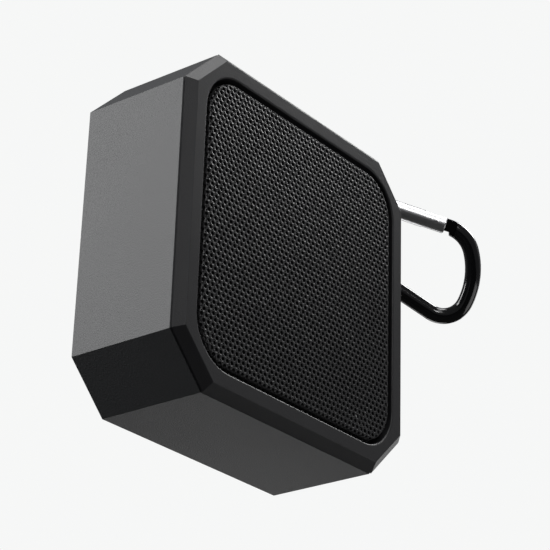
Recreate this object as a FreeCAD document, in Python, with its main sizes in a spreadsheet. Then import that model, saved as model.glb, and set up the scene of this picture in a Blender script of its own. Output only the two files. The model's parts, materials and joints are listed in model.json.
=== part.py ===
import FreeCAD, Part
import math
import os
import Sketcher

# Shower speaker: square body with cut corners, sheet-metal grille, sealed driver,
# top buttons, side port flap, and a spring-gate carabiner hanging in a swivel eye.
# Frame: X right, Y back, Z up; origin at the centre of the housing's flat bottom face.

# Sizes in millimetres; a text value is a formula on the sizes above it.
DIMENSIONS = [
    # outer body
    ("body_size", 90.0),            # width and height of the square outline
    ("corner_leg", 11.9),           # leg of each cut corner
    ("housing_depth", 30.8),        # rear housing, front rim to back
    ("wall", 2.0),
    ("seam", 0.3),                  # gap between bezel and housing, filled by the gasket
    ("bezel_depth", 2.3),           # bezel flange, also its 45 degree bevel
    ("skirt_clearance", 0.25),
    ("skirt_depth", 4.3),           # bezel skirt inside the housing
    ("skirt_hole", "=skirt_depth + seam"),
    ("baffle_thickness", 2.0),
    ("bezel_round", 0.3),           # softened edge between bezel front and bevel
    ("window_round", 0.5),          # softened lip of the grille window
    ("rim_chamfer", 0.3),
    # grille
    ("opening_size", "=body_size - 12.2"),
    ("opening_radius", 12.0),
    ("grille_size", "=opening_size - 2.4"),
    ("grille_radius", 10.8),
    ("grille_sheet", 0.8),
    ("grille_recess", 0.15),
    ("mesh_thickness", 0.3),
    ("baffle_front_depth", "=bezel_depth + seam + skirt_depth - baffle_thickness"),
    # screws that hold the bezel
    ("screw_offset", "=body_size/2 - 14"),
    ("screw_shank", 1.5),
    ("screw_head", 2.6),
    ("screw_head_height", 1.8),
    ("screw_length", 9.0),
    ("screw_slot_half", 0.35),
    ("screw_slot_reach", 1.4),
    ("boss_radius", 3.4),
    # driver
    ("driver_radius", 27.0),
    ("cone_radius", 20.0),
    ("driver_opening", "=cone_radius + 4.5"),
    ("coil_radius", 6.5),
    ("magnet_radius", 14.5),
    ("vent_radius", 3.0),
    ("vent_at", 20.8),
    # circuit board and battery
    ("board_front", 10.0),
    ("board_thickness", 1.6),
    ("board_width", 62.0),
    ("board_height", 52.0),
    ("board_tab_width", 12.0),
    ("board_tab_height", 14.0),
    ("standoff_x", 22.0),
    ("standoff_radius", 2.6),
    ("board_hole", 1.1),
    ("module_width", 12.0),
    ("module_height", 14.0),
    ("battery_radius", 7.0),
    ("battery_length", 50.0),
    ("battery_y", 1.0),
    ("battery_z", "=wall + battery_radius + 1"),
    ("cradle_half_depth", 8.0),
    # switch board under the buttons
    ("switch_board_top", "=body_size - 7.2"),
    ("switch_board_thickness", 1.2),
    ("switch_board_width", 60.0),
    ("switch_board_depth", 14.0),
    ("ledge_x", 27.0),
    ("ledge_width", 6.0),
    ("light_pipe_radius", 1.1),
    ("light_pipe_y", 6.5),
    # top buttons
    ("button_radius", 5.0),
    ("button_gap", 0.15),
    ("button_pitch", 15.0),
    ("button_rise", 0.8),
    ("button_y", -2.0),
    ("button_travel", 0.5),
    ("button_flange", 1.0),
    ("mark_depth", 0.25),
    # port and flap on the right side
    ("port_y", 8.4),
    ("port_z", "=body_size/2 - 21"),
    ("port_thickness", 3.2),        # outer size of the charging port shell
    ("port_width", 8.9),
    ("port_metal", 0.3),
    ("port_inner_end", 34.0),
    ("port_outer_end", "=body_size/2 - 4"),
    ("flap_width", 8.0),
    ("flap_height", 13.5),
    ("flap_thickness", 1.15),
    ("flap_gap", 0.15),
    ("flap_knuckle", 1.0),
    ("flap_pin", 0.42),
    # swivel eye on the top right cut corner
    ("eye_along_corner", "=0.2908*corner_leg"),
    ("eye_y", 9.41),
    ("eye_height", 7.69),
    ("eye_ring", 4.9),
    ("eye_wire", 1.2),
    ("eye_stem", 1.5),
    ("running_gap", 0.1),
    # carabiner
    ("wire_radius", 2.25),
    ("small_end_radius", 8.25),
    ("gate_radius", 2.45),
    ("gate_start", 4.2),
    ("gate_end", 23.9),
    ("gate_pin_at", 20.9),
    ("nose_pin_at", 5.4),
    ("tongue_thickness", 1.9),
    ("tongue_gap", 0.1),
    ("pin_radius", 0.6),
    ("gate_bore", 1.6),
    ("spring_wire", 0.2),
]

# Spin of the eye about its stem, and yaw, pitch and roll of the hanging carabiner.
EYE_SPIN = -46.5
CARABINER_TURN = (-39.92, 22.64, 117.35)
GATE_SLOPE = 8.3
# Carabiner centreline: middle of the small end, then radius and new heading of each bend.
SMALL_END_Y = -0.54
HINGE_BEND = (9.38, -50)
BIG_BEND = (21.4, -90)
TIGHT_BEND = (6.7, -186.7)
NOSE_STUB = 1.2
SPRING_PITCH = 0.95
SPRING_LENGTH = 6.6

doc = FreeCAD.newDocument("ShowerSpeaker")
sheet = doc.addObject("Spreadsheet::Sheet", "Dims")
for row, (alias, number) in enumerate(DIMENSIONS, start=1):
    sheet.set("A%d" % row, alias)
    sheet.set("B%d" % row, str(number))
    sheet.setAlias("B%d" % row, alias)
doc.recompute()

NAMES = sorted((alias for alias, _ in DIMENSIONS), key=len, reverse=True)
nodes = []


def formula(text):
    """Turn a formula that uses bare dimension names into a sheet expression."""
    words = []
    word = ""
    for letter in str(text) + " ":
        if letter.isalnum() or letter in "_.":
            word += letter
            continue
        words.append("Dims." + word if word in NAMES else word)
        words.append(letter)
        word = ""
    return "".join(words).strip()


def value(text):
    """Number that a formula stands for now."""
    return float(sheet.evalExpression(formula(text)))


def new_body(label, position=("0", "0", "0"), rotation=None):
    body = doc.addObject("PartDesign::Body", label)
    body.Label = label
    if rotation is not None:
        body.Placement = FreeCAD.Placement(FreeCAD.Vector(), rotation)
    for axis, place in zip("xyz", position):
        body.setExpression("Placement.Base." + axis, formula(place))
    nodes.append(body)
    return body


def new_sketch(body, plane, offset="0"):
    """Sketch on one of the body's origin planes, moved along the matching axis."""
    sketch = body.newObject("Sketcher::SketchObject", body.Label + "_sketch")
    support = [f for f in body.Origin.OriginFeatures if f.Role == plane + "_Plane"][0]
    sketch.AttachmentSupport = (support, [""])
    sketch.MapMode = "FlatFace"
    sign = "-" if plane == "XZ" else ""
    sketch.setExpression("AttachmentOffset.Base.z", "%s(%s)" % (sign, formula(offset)))
    return sketch


def fix_point(sketch, geometry, point, x, y):
    """Hold a sketch point at the coordinates two formulas give."""
    for kind, text, axis in (("DistanceX", x, -2), ("DistanceY", y, -1)):
        if abs(value(text)) < 1e-9:
            sketch.addConstraint(Sketcher.Constraint("PointOnObject", geometry, point, axis))
            continue
        index = sketch.addConstraint(
            Sketcher.Constraint(kind, -1, 1, geometry, point, value(text)))
        sketch.setExpression("Constraints[%d]" % index, formula(text))


def add_circle(sketch, radius, x="0", y="0"):
    centre = FreeCAD.Vector(value(x), value(y), 0)
    circle = sketch.addGeometry(Part.Circle(centre, FreeCAD.Vector(0, 0, 1), value(radius)))
    index = sketch.addConstraint(Sketcher.Constraint("Radius", circle, value(radius)))
    sketch.setExpression("Constraints[%d]" % index, formula(radius))
    fix_point(sketch, circle, 3, x, y)


def add_polygon(sketch, corners):
    """Closed outline through corners given as pairs of formulas."""
    points = [FreeCAD.Vector(value(x), value(y), 0) for x, y in corners]
    count = len(points)
    first = len(sketch.Geometry)
    for i in range(count):
        sketch.addGeometry(Part.LineSegment(points[i], points[(i + 1) % count]))
    for i in range(count):
        sketch.addConstraint(
            Sketcher.Constraint("Coincident", first + i, 2, first + (i + 1) % count, 1))
    for i, (x, y) in enumerate(corners):
        fix_point(sketch, first + i, 1, x, y)


def add_rectangle(sketch, width, height, x="0", y="0"):
    left = "%s - (%s)/2" % (x, width)
    right = "%s + (%s)/2" % (x, width)
    low = "%s - (%s)/2" % (y, height)
    high = "%s + (%s)/2" % (y, height)
    add_polygon(sketch, [(left, low), (right, low), (right, high), (left, high)])


def add_rounded_square(sketch, size, radius, x, y):
    """Square with four equal corner arcs, centred on x, y."""
    half = value(size) / 2
    corner = value(radius)
    cx = value(x)
    cy = value(y)
    near = half - corner
    first = len(sketch.Geometry)
    turns = [(1, -1), (1, 1), (-1, 1), (-1, -1)]
    for i, (sx, sy) in enumerate(turns):
        centre = FreeCAD.Vector(cx + sx * near, cy + sy * near, 0)
        circle = Part.Circle(centre, FreeCAD.Vector(0, 0, 1), corner)
        start = (i - 1) * math.pi / 2
        stop = start + math.pi / 2
        sketch.addGeometry(Part.ArcOfCircle(circle, start, stop))
        ahead_x, ahead_y = turns[(i + 1) % 4]
        outward = FreeCAD.Vector(math.cos(stop), math.sin(stop), 0) * corner
        next_centre = FreeCAD.Vector(cx + ahead_x * near, cy + ahead_y * near, 0)
        sketch.addGeometry(Part.LineSegment(centre + outward, next_centre + outward))
    for i in range(4):
        arc = first + 2 * i
        line = arc + 1
        sketch.addConstraint(Sketcher.Constraint("Tangent", arc, 2, line, 1))
        sketch.addConstraint(Sketcher.Constraint("Tangent", line, 2, first + (2 * i + 2) % 8, 1))
    for i in range(1, 4):
        sketch.addConstraint(Sketcher.Constraint("Equal", first, first + 2 * i))
    index = sketch.addConstraint(Sketcher.Constraint("Radius", first, corner))
    sketch.setExpression("Constraints[%d]" % index, formula(radius))
    reach = "(%s)/2 - (%s)" % (size, radius)
    fix_point(sketch, first, 3, "%s + %s" % (x, reach), "%s - (%s)" % (y, reach))
    fix_point(sketch, first + 4, 3, "%s - (%s)" % (x, reach), "%s + %s" % (y, reach))


def outline(sketch, inset):
    """Body outline, a square with cut corners, moved inward by inset (XZ plane)."""
    half = "(body_size/2 - (%s))" % inset
    near = "(body_size/2 - corner_leg - (%s)*(sqrt(2) - 1))" % inset
    middle = "body_size/2"
    add_polygon(sketch, [
        ("-" + near, middle + " - " + half), (near, middle + " - " + half),
        (half, middle + " - " + near), (half, middle + " + " + near),
        (near, middle + " + " + half), ("-" + near, middle + " + " + half),
        ("-" + half, middle + " + " + near), ("-" + half, middle + " - " + near)])


def feature(body, kind, sketch, length, toward, both=False):
    """Pad or pocket that runs toward + or - along the sketch plane's own axis."""
    made = body.newObject("PartDesign::" + kind, body.Label + "_" + kind.lower())
    made.Profile = sketch
    made.setExpression("Length", formula(length))
    along_normal = (toward == "+") != (sketch.AttachmentSupport[0][0].Role == "XZ_Plane")
    made.Reversed = along_normal if kind == "Pocket" else not along_normal
    made.Midplane = both
    before = body.Shape.Volume if kind == "Pocket" else 0
    doc.recompute()
    if kind == "Pocket" and body.Shape.Volume > before - 1e-4:
        raise RuntimeError("pocket cut nothing in " + body.Label)
    return made


def pad(body, sketch, length, toward="+", both=False):
    return feature(body, "Pad", sketch, length, toward, both)


def pocket(body, sketch, length, toward="+", both=False):
    return feature(body, "Pocket", sketch, length, toward, both)


def turn(body, corners, plane="XZ", axis="V_Axis"):
    """Solid of revolution about a sketch axis."""
    sketch = new_sketch(body, plane)
    add_polygon(sketch, corners)
    made = body.newObject("PartDesign::Revolution", body.Label + "_turn")
    made.Profile = sketch
    made.ReferenceAxis = (sketch, [axis])
    made.Angle = 360
    doc.recompute()
    return made


def rim_edges(shape, y, nearest, farthest):
    """Names of the edges at depth y whose ends lie so far out from the front axis."""
    middle = value(MIDDLE)
    slack = 0.01
    names = []
    for number, edge in enumerate(shape.Edges, start=1):
        ends = [vertex.Point for vertex in edge.Vertexes]
        level = all(abs(end.y - y) < slack for end in ends)
        reach = [max(abs(end.x), abs(end.z - middle)) for end in ends]
        if level and min(reach) > nearest - slack and max(reach) < farthest + slack:
            names.append("Edge%d" % number)
    return names


def soften(body, base, kind, names, size):
    """Fillet or chamfer the named edges of a feature."""
    made = body.newObject("PartDesign::" + kind, body.Label + "_" + kind.lower())
    made.Base = (base, names)
    made.setExpression("Radius" if kind == "Fillet" else "Size", formula(size))
    doc.recompute()
    return made


def around(body, base, count, axis):
    """Repeat a feature evenly round a body axis."""
    pattern = body.newObject("PartDesign::PolarPattern", body.Label + "_pattern")
    pattern.Originals = [base]
    line = [f for f in body.Origin.OriginFeatures if f.Role == axis + "_Axis"][0]
    pattern.Axis = (line, [""])
    pattern.Angle = 360
    pattern.Occurrences = count
    body.Tip = pattern
    doc.recompute()


RIM = "-housing_depth/2"
BACK = "housing_depth/2"
FLANGE_BACK = "-housing_depth/2 - seam"
FRONT = "-housing_depth/2 - seam - bezel_depth"
MIDDLE = "body_size/2"
BAFFLE_FRONT = "-housing_depth/2 + skirt_depth - baffle_thickness"
BAFFLE_BACK = "-housing_depth/2 + skirt_depth"
# Screw places: name, side sign and level sign.
SCREW_SPOTS = [
    ("left_low", "-", "-"),
    ("right_low", "", "-"),
    ("left_high", "-", "+"),
    ("right_high", "", "+"),
]
# Buttons: name and how many pitches from the middle.
BUTTONS = [
    ("button_power", "-1.5"),
    ("button_volume_down", "-0.5"),
    ("button_play", "0.5"),
    ("button_volume_up", "1.5"),
]
STANDOFF_SPOTS = [
    ("-standoff_x", MIDDLE + " - 15"),
    ("-standoff_x", MIDDLE + " + 19"),
    ("standoff_x", MIDDLE + " - 15"),
    ("standoff_x", MIDDLE + " + 19"),
]
BOARD_Z = MIDDLE + " + 1"


def screw_spot(side, level):
    return side + "screw_offset", MIDDLE + " " + level + " screw_offset"


def tilted_sketch(body, x, y, z, rotation):
    """Sketch on a plane of the body turned to a given direction."""
    sketch = new_sketch(body, "XY")
    sketch.setExpression("AttachmentOffset.Base.z", None)
    place = FreeCAD.Vector(value(x), value(y), value(z))
    sketch.AttachmentOffset = FreeCAD.Placement(place, rotation)
    for axis, text in (("x", x), ("y", y), ("z", z)):
        sketch.setExpression("AttachmentOffset.Base." + axis, formula(text))
    return sketch


FOOT_X = "body_size/2 - corner_leg/2 + eye_along_corner/sqrt(2)"
FOOT_Z = "body_size - corner_leg/2 - eye_along_corner/sqrt(2)"
CORNER_TURN = FreeCAD.Rotation(FreeCAD.Vector(0, 1, 0), 45)
HINGE_Z = "port_z - flap_height/2 + flap_knuckle"
HINGE_X = "body_size/2 - flap_knuckle"


def rear_housing():
    body = new_body("rear_housing")
    shell = new_sketch(body, "XZ", RIM)
    outline(shell, "0")
    block = pad(body, shell, "housing_depth")
    half = value("body_size") / 2
    soften(body, block, "Chamfer", rim_edges(block.Shape, value(RIM), half, half), "rim_chamfer")
    cavity = new_sketch(body, "XZ", RIM)
    outline(cavity, "wall")
    pocket(body, cavity, "housing_depth - wall")
    housing_supports(body)

    keys = new_sketch(body, "XY", "body_size")
    for _, step in BUTTONS:
        add_circle(keys, "button_radius + button_gap", step + "*button_pitch", "button_y")
    add_circle(keys, "light_pipe_radius", "0", "light_pipe_y")
    pocket(body, keys, "wall", "-")
    housing_port(body)

    stem_hole = tilted_sketch(body, FOOT_X, "eye_y", FOOT_Z, CORNER_TURN)
    add_circle(stem_hole, "eye_stem + running_gap/2")
    pocket(body, stem_hole, "wall + 1", "-")


def housing_supports(body):
    """Screw bosses, board standoffs and ledges for the switch board."""
    bosses = new_sketch(body, "XZ", BAFFLE_BACK)
    pilots = new_sketch(body, "XZ", BAFFLE_BACK)
    for _, side, level in SCREW_SPOTS:
        add_circle(bosses, "boss_radius", *screw_spot(side, level))
    pad(body, bosses, "housing_depth - skirt_depth - wall/2")
    for _, side, level in SCREW_SPOTS:
        add_circle(pilots, "screw_shank", *screw_spot(side, level))
    pocket(body, pilots, "screw_length")

    standoffs = new_sketch(body, "XZ", "board_front + board_thickness")
    for x, z in STANDOFF_SPOTS:
        add_circle(standoffs, "standoff_radius", x, z)
    pad(body, standoffs, "housing_depth/2 - wall/2 - board_front - board_thickness")

    for side in ("-ledge_x", "ledge_x"):
        ledge = new_sketch(body, "XY", "switch_board_top - switch_board_thickness")
        add_rectangle(ledge, "ledge_width", "12", side, "housing_depth/2 - wall - 5")
        pad(body, ledge, "wall", "-")


def housing_port(body):
    """Thickened wall with the flap's recess, its hinge and the charging opening."""
    backing = "1.8"
    thick = new_sketch(body, "YZ", "body_size/2 - wall - " + backing)
    add_rectangle(thick, "flap_width + 4", "flap_height + 6", "port_y", "port_z")
    pad(body, thick, backing + " + 0.4")
    recess = new_sketch(body, "YZ", "body_size/2")
    add_rectangle(recess, "flap_width + 2*flap_gap", "flap_height + 2*flap_gap", "port_y", "port_z")
    pocket(body, recess, "flap_thickness + flap_gap", "-")
    knuckle = new_sketch(body, "XZ", "port_y")
    add_circle(knuckle, "flap_knuckle + flap_gap", HINGE_X, HINGE_Z)
    pocket(body, knuckle, "flap_width + 2*flap_gap", both=True)
    hinge_holes = new_sketch(body, "XZ", "port_y")
    add_circle(hinge_holes, "flap_pin + 0.08", HINGE_X, HINGE_Z)
    pocket(body, hinge_holes, "flap_width + 2.4", both=True)
    opening = new_sketch(body, "YZ", "body_size/2")
    add_rectangle(opening, "port_thickness + 0.4", "port_width + 0.5", "port_y", "port_z")
    pocket(body, opening, "6", "-")


def front_bezel():
    body = new_body("front_bezel")
    flange = new_sketch(body, "XZ", FLANGE_BACK)
    outline(flange, "0")
    front = new_sketch(body, "XZ", FRONT)
    outline(front, "bezel_depth")
    loft = body.newObject("PartDesign::AdditiveLoft", "bezel_loft")
    loft.Profile = flange
    loft.Sections = [front]
    loft.Ruled = True
    doc.recompute()
    front_y = value(FRONT)
    half = value("body_size/2 - bezel_depth")
    soften(body, loft, "Fillet", rim_edges(loft.Shape, front_y, half, half), "bezel_round")
    skirt = new_sketch(body, "XZ", FLANGE_BACK)
    outline(skirt, "wall + skirt_clearance")
    pad(body, skirt, "skirt_hole")
    window = new_sketch(body, "XZ", FRONT)
    add_rounded_square(window, "opening_size", "opening_radius", "0", MIDDLE)
    cut = pocket(body, window, "baffle_front_depth")
    lip = rim_edges(cut.Shape, front_y, 0, value("opening_size/2"))
    soften(body, cut, "Fillet", lip, "window_round")
    hole = new_sketch(body, "XZ", BAFFLE_FRONT)
    add_circle(hole, "driver_opening", "0", MIDDLE)
    for _, side, level in SCREW_SPOTS:
        add_circle(hole, "screw_shank + 0.1", *screw_spot(side, level))
    pocket(body, hole, "baffle_thickness")


def seal_gasket():
    body = new_body("seal_gasket")
    ring = new_sketch(body, "XZ", FLANGE_BACK)
    outline(ring, "0.5")
    outline(ring, "wall - 0.3")
    pad(body, ring, "seam")


def grille():
    body = new_body("grille")
    face = new_sketch(body, "XZ", FRONT + " + grille_recess")
    add_rounded_square(face, "grille_size", "grille_radius", "0", MIDDLE)
    block = pad(body, face, "baffle_front_depth - grille_recess - mesh_thickness")
    folded = rim_edges(block.Shape, value(FRONT + " + grille_recess"), 0, value("grille_size/2"))
    soften(body, block, "Fillet", folded, "grille_sheet")
    inside = new_sketch(body, "XZ", FRONT + " + grille_recess + grille_sheet")
    add_rounded_square(inside, "grille_size - 2*grille_sheet", "grille_radius - grille_sheet",
                       "0", MIDDLE)
    pocket(body, inside, "bezel_depth + skirt_depth")


def acoustic_mesh():
    body = new_body("acoustic_mesh")
    cloth = new_sketch(body, "XZ", BAFFLE_FRONT)
    add_rounded_square(cloth, "grille_size", "grille_radius", "0", MIDDLE)
    for _, side, level in SCREW_SPOTS:
        add_circle(cloth, "screw_head + 0.3", *screw_spot(side, level))
    pad(body, cloth, "mesh_thickness", "-")


def cross(half, reach):
    """Corners of a plus sign."""
    return [
        ("-" + half, "-" + reach), (half, "-" + reach), (half, "-" + half),
        (reach, "-" + half), (reach, half), (half, half),
        (half, reach), ("-" + half, reach), ("-" + half, half),
        ("-" + reach, half), ("-" + reach, "-" + half), ("-" + half, "-" + half)]


def bezel_screws():
    face_forward = FreeCAD.Rotation(FreeCAD.Vector(1, 0, 0), 90)
    for spot, side, level in SCREW_SPOTS:
        x, z = screw_spot(side, level)
        body = new_body("screw_" + spot, (x, BAFFLE_FRONT, z), face_forward)
        turn(body, [
            ("0", "-screw_length"), ("screw_shank - 0.5", "-screw_length"),
            ("screw_shank", "1 - screw_length"), ("screw_shank", "0"),
            ("screw_head", "0"), ("screw_head", "screw_head_height - 0.7"),
            ("screw_head - 0.7", "screw_head_height"), ("0", "screw_head_height")])
        drive = new_sketch(body, "XY", "screw_head_height")
        add_polygon(drive, cross("screw_slot_half", "screw_slot_reach"))
        pocket(body, drive, "1", "-")


def driver_body(label):
    """Body whose Z axis is the driver's axis, starting at the back of the baffle."""
    backward = FreeCAD.Rotation(FreeCAD.Vector(1, 0, 0), -90)
    return new_body(label, ("0", BAFFLE_BACK, MIDDLE), backward)


# Profiles of the driver's pieces: radius, then depth behind the baffle.
FRAME_PROFILE = [
    ("24.6", "0.5"), ("driver_radius", "0.5"), ("driver_radius", "1.7"), ("25.2", "1.7"),
    ("18.6", "8.6"), ("14.5", "11.2"), ("9", "11.2"), ("9", "10.2"), ("14", "10.2"),
    ("16.2", "8.6"), ("16.2", "7.8"), ("17.6", "7.8"), ("23.9", "1.2"), ("24.6", "1.2")]
SURROUND_PROFILE = [
    ("18.6", "0"), ("20", "0"), ("20.4", "-1.2"), ("21.4", "-1.9"), ("22.6", "-1.9"),
    ("23.7", "-1.2"), ("24.1", "0"), ("driver_radius", "0"), ("driver_radius", "0.5"),
    ("23.6", "0.5"), ("23.2", "-0.9"), ("22.4", "-1.4"), ("21.6", "-1.4"),
    ("20.8", "-0.9"), ("20.4", "0.5"), ("18.6", "0.5")]
CONE_PROFILE = [
    ("coil_radius", "5.2"), ("coil_radius + 0.4", "5.2"), ("18.6", "0.5"),
    ("cone_radius", "0.5"), ("cone_radius", "1"), ("18.8", "1"),
    ("coil_radius + 0.6", "6.2"), ("coil_radius", "6.2")]
CAP_PROFILE = [
    ("0", "2.6"), ("3", "2.9"), ("5.4", "3.8"), ("coil_radius + 0.9", "5"),
    ("coil_radius", "5.2"), ("coil_radius - 0.4", "5.2"), ("5.2", "4.2"),
    ("3", "3.3"), ("0", "3")]
COIL_PROFILE = [
    ("coil_radius - 0.25", "5.2"), ("coil_radius", "5.2"),
    ("coil_radius", "14.6"), ("coil_radius - 0.25", "14.6")]
SPIDER_PROFILE = [
    ("coil_radius", "7.4"), ("8", "7.4"), ("9", "6.8"), ("10.5", "8"), ("12", "6.8"),
    ("13.5", "8"), ("14.8", "7.4"), ("17.4", "7.4"), ("17.4", "7.8"), ("14.8", "7.8"),
    ("13.5", "8.4"), ("12", "7.2"), ("10.5", "8.4"), ("9", "7.2"), ("8", "7.8"),
    ("coil_radius", "7.8")]
TOP_PLATE_PROFILE = [
    ("coil_radius + 0.4", "11.2"), ("magnet_radius - 0.5", "11.2"),
    ("magnet_radius - 0.5", "13.4"), ("coil_radius + 0.4", "13.4")]
MAGNET_PROFILE = [
    ("coil_radius + 2", "13.4"), ("magnet_radius", "13.4"),
    ("magnet_radius", "17.6"), ("coil_radius + 2", "17.6")]
YOKE_PROFILE = [
    ("0", "11"), ("coil_radius - 0.5", "11"), ("coil_radius - 0.5", "17.6"),
    ("magnet_radius - 0.5", "17.6"), ("magnet_radius - 0.5", "19.4"), ("0", "19.4")]


def driver():
    frame = driver_body("driver_frame")
    turn(frame, FRAME_PROFILE)
    vents = new_sketch(frame, "XY", "1.5")
    add_circle(vents, "vent_radius", "vent_at")
    vent = pocket(frame, vents, "12")
    around(frame, vent, 6, "Z")
    for label, profile in (
            ("driver_surround", SURROUND_PROFILE),
            ("driver_cone", CONE_PROFILE),
            ("dust_cap", CAP_PROFILE),
            ("voice_coil", COIL_PROFILE),
            ("driver_spider", SPIDER_PROFILE),
            ("top_plate", TOP_PLATE_PROFILE),
            ("magnet", MAGNET_PROFILE),
            ("yoke", YOKE_PROFILE)):
        turn(driver_body(label), profile)


def circuit_board():
    board = new_body("circuit_board")
    plane = new_sketch(board, "XZ", "board_front")
    add_rectangle(plane, "board_width", "board_height", "0", BOARD_Z)
    for x, z in STANDOFF_SPOTS:
        add_circle(plane, "board_hole", x, z)
    pad(board, plane, "board_thickness")
    tab = new_sketch(board, "XZ", "board_front")
    add_rectangle(tab, "board_tab_width", "board_tab_height", "port_inner_end + 1", "port_z + 2")
    pad(board, tab, "board_thickness")

    module = new_body("radio_module")
    can = new_sketch(module, "XZ", "board_front")
    add_rectangle(can, "module_width", "module_height", "-23", BOARD_Z)
    pad(module, can, "2", "-")


def charging_port():
    port = new_body("charging_port")
    shell = new_sketch(port, "YZ", "port_inner_end")
    add_rectangle(shell, "port_thickness", "port_width", "port_y", "port_z")
    pad(port, shell, "port_outer_end - port_inner_end")
    mouth = new_sketch(port, "YZ", "port_outer_end")
    add_rectangle(mouth, "port_thickness - 2*port_metal", "port_width - 2*port_metal",
                  "port_y", "port_z")
    pocket(port, mouth, "port_outer_end - port_inner_end - 1.5", "-")
    blade = new_sketch(port, "YZ", "port_inner_end + 1.5")
    add_rectangle(blade, "0.7", "port_width - 2.3", "port_y", "port_z")
    pad(port, blade, "4.6")


def battery():
    lengthwise = FreeCAD.Rotation(FreeCAD.Vector(0, 1, 0), 90)
    cell = new_body("battery", ("-battery_length/2", "battery_y", "battery_z"), lengthwise)
    turn(cell, [
        ("0", "0"), ("battery_radius - 0.8", "0"), ("battery_radius", "0.8"),
        ("battery_radius", "battery_length - 1.6"),
        ("battery_radius - 0.8", "battery_length - 0.8"), ("3", "battery_length - 0.8"),
        ("3", "battery_length"), ("0", "battery_length")])
    cradle = new_body("battery_cradle")
    saddle = new_sketch(cradle, "YZ")
    front = "battery_y - cradle_half_depth"
    back = "battery_y + cradle_half_depth"
    add_polygon(saddle, [
        (front, "wall"), (back, "wall"), (back, "wall + 4"),
        ("battery_y", "wall + 0.9"), (front, "wall + 4")])
    pad(cradle, saddle, "battery_length - 10", both=True)
    groove = new_sketch(cradle, "YZ")
    add_circle(groove, "battery_radius + 0.05", "battery_y", "battery_z")
    pocket(cradle, groove, "battery_length", both=True)


def switch_board():
    keys = new_body("switch_board")
    slab = new_sketch(keys, "XY", "switch_board_top")
    add_rectangle(slab, "switch_board_width", "switch_board_depth", "0", "0")
    pad(keys, slab, "switch_board_thickness", "-")
    domes = new_sketch(keys, "XY", "switch_board_top")
    for _, step in BUTTONS:
        add_rectangle(domes, "4", "4", step + "*button_pitch", "button_y")
    pad(keys, domes, "1")
    plungers = new_sketch(keys, "XY", "switch_board_top")
    for _, step in BUTTONS:
        add_circle(plungers, "1", step + "*button_pitch", "button_y")
    pad(keys, plungers, "1.4")

    light = new_body("light_pipe")
    rod = new_sketch(light, "XY", "switch_board_top")
    add_circle(rod, "light_pipe_radius", "0", "light_pipe_y")
    pad(light, rod, "body_size - switch_board_top")


def bar(width, low, high):
    """Corners of an upright bar centred on the Y axis."""
    left = "-(%s)/2" % width
    right = "(%s)/2" % width
    return [(left, low), (right, low), (right, high), (left, high)]


def marks(kind):
    """Outlines engraved on a button top."""
    if kind == "button_volume_down":
        return [bar("3.6", "-0.3", "0.3")]
    if kind == "button_volume_up":
        return [cross("0.3", "1.8")]
    if kind == "button_play":
        return [[("-1", "-1.6"), ("1.7", "0"), ("-1", "1.6")]]
    return [bar("0.6", "0.2", "2.2"), bar("3.4", "-1.6", "-1")]


def buttons():
    flange = "button_radius + button_flange"
    flange_top = "-wall - 0.05"
    flange_low = "-3.2"
    stem_low = "-5.1"
    for label, step in BUTTONS:
        body = new_body(label, (step + "*button_pitch", "button_y", "body_size"))
        turn(body, [
            ("0", stem_low), ("1.5", stem_low), ("1.5", flange_low), (flange, flange_low),
            (flange, flange_top), ("button_radius", flange_top),
            ("button_radius", "button_rise - 0.4"), ("button_radius - 0.4", "button_rise"),
            ("0", "button_rise")])
        engraving = new_sketch(body, "XY", "button_rise")
        for loop in marks(label):
            add_polygon(engraving, loop)
        pocket(body, engraving, "mark_depth", "-")


def port_flap():
    body = new_body("port_flap")
    plate = new_sketch(body, "YZ", "body_size/2 - flap_thickness")
    add_rectangle(plate, "flap_width", "flap_height - flap_knuckle",
                  "port_y", "port_z + flap_knuckle/2")
    pad(body, plate, "flap_thickness")
    knuckle = new_sketch(body, "XZ", "port_y")
    add_circle(knuckle, "flap_knuckle", HINGE_X, HINGE_Z)
    pad(body, knuckle, "flap_width", both=True)
    stub = new_sketch(body, "YZ", "body_size/2 - flap_thickness")
    add_rectangle(stub, "port_thickness - 0.4", "port_width - 0.9", "port_y", "port_z")
    pad(body, stub, "0.9", "-")
    pins = new_sketch(body, "XZ", "port_y")
    add_circle(pins, "flap_pin", HINGE_X, HINGE_Z)
    pad(body, pins, "flap_width + 1.8", both=True)
    grip = new_sketch(body, "YZ", "body_size/2")
    add_rectangle(grip, "4", "0.8", "port_y", "port_z + flap_height/2 - 1")
    pocket(body, grip, "0.4", "-")


def eye_rotation():
    return CORNER_TURN.multiply(FreeCAD.Rotation(FreeCAD.Vector(0, 0, 1), EYE_SPIN))


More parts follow.
